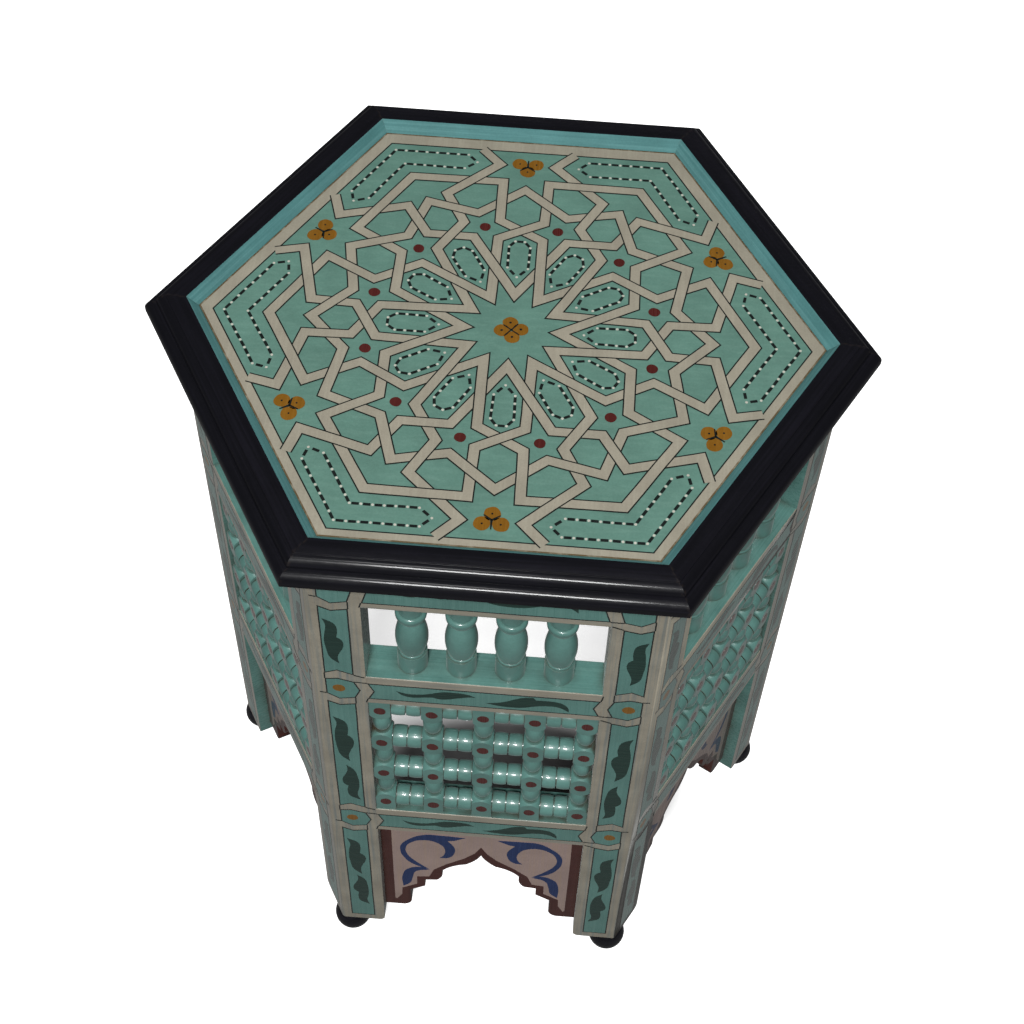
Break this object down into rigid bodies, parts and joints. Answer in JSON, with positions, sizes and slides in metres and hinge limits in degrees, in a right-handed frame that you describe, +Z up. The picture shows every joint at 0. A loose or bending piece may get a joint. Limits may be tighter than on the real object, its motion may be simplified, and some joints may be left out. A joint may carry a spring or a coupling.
{
  "type": "hexagonal side table",
  "caption": "Hexagonal painted wooden side table with a moulded rim, turned gallery and lattice sides, arched aprons and ball feet.",
  "frame": {"origin": "on the floor under the centre of the table", "axes": "+Z up; side 1 faces -Y; corner posts stand on +X, -X and every 60 degrees between"},
  "size_m": [0.4938, 0.4276, 0.558],
  "materials": {
    "painted_top": "sage green paint with a beige strapwork star pattern, satin varnish",
    "black_paint": "black satin paint, rubbed on the arrises",
    "painted_frame": "sage green and beige paint with dark leaves, satin varnish",
    "painted_turnings": "glossy sea green paint with a glaze left in the grooves",
    "painted_apron": "pinkish beige paint with brown edges and blue scrolls",
    "bare_wood": "unpainted pale wood"
  },
  "bodies": {
    "root": {"top_panel": "painted_top", "glue_blocks": "bare_wood", "ball_feet": "black_paint", "corner_post_1": "painted_frame", "corner_post_2": "painted_frame", "corner_post_3": "painted_frame", "corner_post_4": "painted_frame", "corner_post_5": "painted_frame", "corner_post_6": "painted_frame", "rim_moulding_1": "black_paint", "rim_moulding_2": "black_paint", "rim_moulding_3": "black_paint", "rim_moulding_4": "black_paint", "rim_moulding_5": "black_paint", "rim_moulding_6": "black_paint", "top_rail_1": "painted_frame", "top_rail_2": "painted_frame", "top_rail_3": "painted_frame", "top_rail_4": "painted_frame", "top_rail_5": "painted_frame", "top_rail_6": "painted_frame", "middle_rail_1": "painted_frame", "middle_rail_2": "painted_frame", "middle_rail_3": "painted_frame", "middle_rail_4": "painted_frame", "middle_rail_5": "painted_frame", "middle_rail_6": "painted_frame", "lower_rail_1": "painted_frame", "lower_rail_2": "painted_frame", "lower_rail_3": "painted_frame", "lower_rail_4": "painted_frame", "lower_rail_5": "painted_frame", "lower_rail_6": "painted_frame", "gallery_balusters_1": "painted_turnings", "gallery_balusters_2": "painted_turnings", "gallery_balusters_3": "painted_turnings", "gallery_balusters_4": "painted_turnings", "gallery_balusters_5": "painted_turnings", "gallery_balusters_6": "painted_turnings", "lattice_spindles_1": "painted_turnings", "lattice_spindles_2": "painted_turnings", "lattice_spindles_3": "painted_turnings", "lattice_spindles_4": "painted_turnings", "lattice_spindles_5": "painted_turnings", "lattice_spindles_6": "painted_turnings", "lattice_links_1": "painted_turnings", "lattice_links_2": "painted_turnings", "lattice_links_3": "painted_turnings", "lattice_links_4": "painted_turnings", "lattice_links_5": "painted_turnings", "lattice_links_6": "painted_turnings", "apron_1": "painted_apron", "apron_2": "painted_apron", "apron_3": "painted_apron", "apron_4": "painted_apron", "apron_5": "painted_apron", "apron_6": "painted_apron"}
  },
  "joints": []
}
